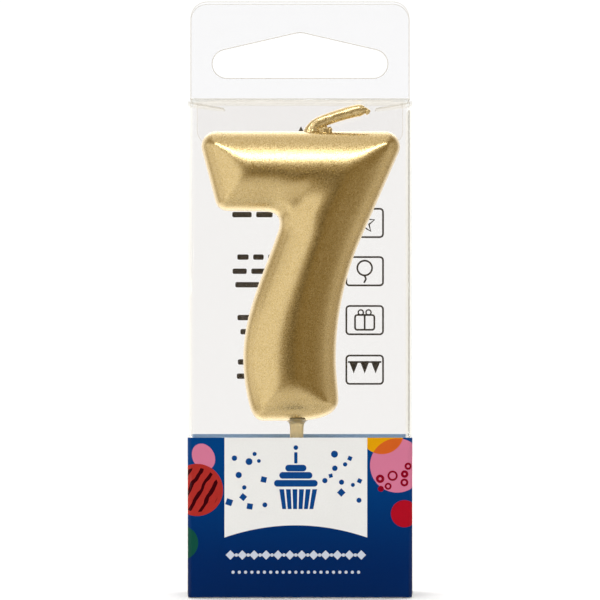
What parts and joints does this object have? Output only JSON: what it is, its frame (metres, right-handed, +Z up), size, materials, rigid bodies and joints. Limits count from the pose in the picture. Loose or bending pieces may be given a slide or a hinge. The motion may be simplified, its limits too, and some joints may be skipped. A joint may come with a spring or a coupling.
{
  "type": "number birthday candle in a hang-tab carton",
  "caption": "Gold wax number candle on a pick, in a clear folded carton with tuck closures at both ends and a header with a hang hole.",
  "frame": {"origin": "centre of the carton's footprint, on the surface that the carton stands on", "axes": "+X to the right seen from the front, +Y to the back, +Z up"},
  "size_m": [0.034, 0.018, 0.0914],
  "materials": {
    "clear_sheet": "clear, glossy",
    "white_card": "matt, uncoated",
    "gold_wax": "metallic gold lacquer over wax, satin",
    "gold_wick": "cotton braid, gold lacquered",
    "pick_plastic": "satin, gold tinted",
    "printed_ink": "printed ink, glossy"
  },
  "bodies": {
    "carton": {"front_panel": "clear_sheet", "back_panel": "clear_sheet", "left_panel": "clear_sheet", "right_panel": "clear_sheet", "seam_flap": "clear_sheet", "hang_header": "clear_sheet", "header_ply": "clear_sheet", "card_insert": "white_card"},
    "candle": {"wax_seven": "gold_wax", "wick": "gold_wick", "pick": "pick_plastic"},
    "top_lid": {"top_lid": "clear_sheet"},
    "top_tuck": {"top_tuck": "clear_sheet"},
    "top_dust_left": {"top_dust_left": "clear_sheet"},
    "top_dust_right": {"top_dust_right": "clear_sheet"},
    "bottom_lid": {"bottom_lid": "clear_sheet"},
    "bottom_tuck": {"bottom_tuck": "clear_sheet"},
    "bottom_dust_left": {"bottom_dust_left": "clear_sheet"},
    "bottom_dust_right": {"bottom_dust_right": "clear_sheet"}
  },
  "joints": [
    {"name": "top_lid_hinge", "type": "hinge", "parent": "carton", "child": "top_lid", "pos_m": [0, -0.0087, 0.0756], "axis": [1, 0, 0], "range_deg": [0, 120]},
    {"name": "top_tuck_fold", "type": "hinge", "parent": "top_lid", "child": "top_tuck", "pos_m": [0, 0.00795, 0.07525], "axis": [1, 0, 0], "range_deg": [-60.5, 0]},
    {"name": "top_dust_left_fold", "type": "hinge", "parent": "carton", "child": "top_dust_left", "pos_m": [-0.0167, 0, 0.0751], "axis": [0, -1, 0], "range_deg": [0, 120.5]},
    {"name": "top_dust_right_fold", "type": "hinge", "parent": "carton", "child": "top_dust_right", "pos_m": [0.0167, 0, 0.0751], "axis": [0, 1, 0], "range_deg": [0, 120.5]},
    {"name": "candle_lift", "type": "slide", "parent": "carton", "child": "candle", "axis": [0, 0, 1], "range_m": [0, 0.0125]},
    {"name": "bottom_lid_hinge", "type": "hinge", "parent": "carton", "child": "bottom_lid", "pos_m": [0, -0.0087, 0], "axis": [-1, 0, 0], "range_deg": [0, 120]},
    {"name": "bottom_tuck_fold", "type": "hinge", "parent": "bottom_lid", "child": "bottom_tuck", "pos_m": [0, 0.00795, 0.00035], "axis": [-1, 0, 0], "range_deg": [-60.5, 0]},
    {"name": "bottom_dust_left_fold", "type": "hinge", "parent": "carton", "child": "bottom_dust_left", "pos_m": [-0.0167, 0, 0.0005], "axis": [0, 1, 0], "range_deg": [0, 120.5]},
    {"name": "bottom_dust_right_fold", "type": "hinge", "parent": "carton", "child": "bottom_dust_right", "pos_m": [0.0167, 0, 0.0005], "axis": [0, -1, 0], "range_deg": [0, 120.5]}
  ],
  "couplings": [
    {"joint": "top_lid_hinge", "follows": "candle_lift", "rad_per_m": 166.67},
    {"joint": "top_tuck_fold", "follows": "candle_lift", "rad_per_m": -83.333},
    {"joint": "top_dust_left_fold", "follows": "candle_lift", "rad_per_m": 166.67},
    {"joint": "top_dust_right_fold", "follows": "candle_lift", "rad_per_m": 166.67},
    {"joint": "bottom_tuck_fold", "follows": "bottom_lid_hinge", "ratio": -0.5},
    {"joint": "bottom_dust_left_fold", "follows": "bottom_lid_hinge", "ratio": 1},
    {"joint": "bottom_dust_right_fold", "follows": "bottom_lid_hinge", "ratio": 1}
  ]
}
